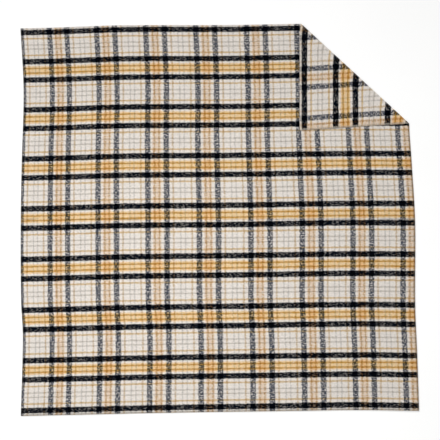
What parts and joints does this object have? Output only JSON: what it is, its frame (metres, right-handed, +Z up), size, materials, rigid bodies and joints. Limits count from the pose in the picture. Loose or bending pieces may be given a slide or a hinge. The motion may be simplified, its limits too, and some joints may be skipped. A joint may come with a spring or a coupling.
{
  "type": "camp blanket",
  "caption": "Nearly square woven plaid camp blanket, laid flat with one corner folded over, that folds into thirds; its cut edges are overlocked.",
  "frame": {"origin": "on the ground under the middle of the blanket's outline, with the corner folded over as it lies", "axes": "+X along the width, across the warp stripes; +Y along the length towards the top edge, where the corner is folded over; +Z up from the ground"},
  "size_m": [1.5265, 1.5025, 0.0066],
  "materials": {
    "plaid_cloth": "brushed woven plaid: cream ground with black, charcoal, gold, tan and grey stripes",
    "overlock_thread": "soft bulky overlock thread, charcoal on the face and ecru on the reverse"
  },
  "bodies": {
    "middle_third": {"middle_cloth": "plaid_cloth", "seam_middle_left": "overlock_thread", "seam_middle_right": "overlock_thread"},
    "lower_third": {"lower_cloth": "plaid_cloth", "seam_lower_left": "overlock_thread", "seam_lower_right": "overlock_thread", "seam_lower_bottom": "overlock_thread"},
    "upper_third": {"upper_cloth": "plaid_cloth", "seam_upper_left": "overlock_thread", "seam_upper_right": "overlock_thread", "seam_upper_top": "overlock_thread"},
    "folded_corner": {"corner_cloth": "plaid_cloth", "seam_corner_top": "overlock_thread", "seam_corner_right": "overlock_thread"}
  },
  "joints": [
    {"name": "lower_fold", "type": "hinge", "parent": "middle_third", "child": "lower_third", "pos_m": [0, -0.258, 0.0055], "axis": [-1, 0, 0], "range_deg": [0, 179.8]},
    {"name": "upper_fold", "type": "hinge", "parent": "middle_third", "child": "upper_third", "pos_m": [0, 0.248, 0.0098], "axis": [1, 0, 0], "range_deg": [0, 179.8]},
    {"name": "corner_fold", "type": "hinge", "parent": "upper_third", "child": "folded_corner", "pos_m": [0.51649, 0.55962, 0.0033], "axis": [-0.7351, 0.6779, 0], "range_deg": [0, 179.8]}
  ]
}
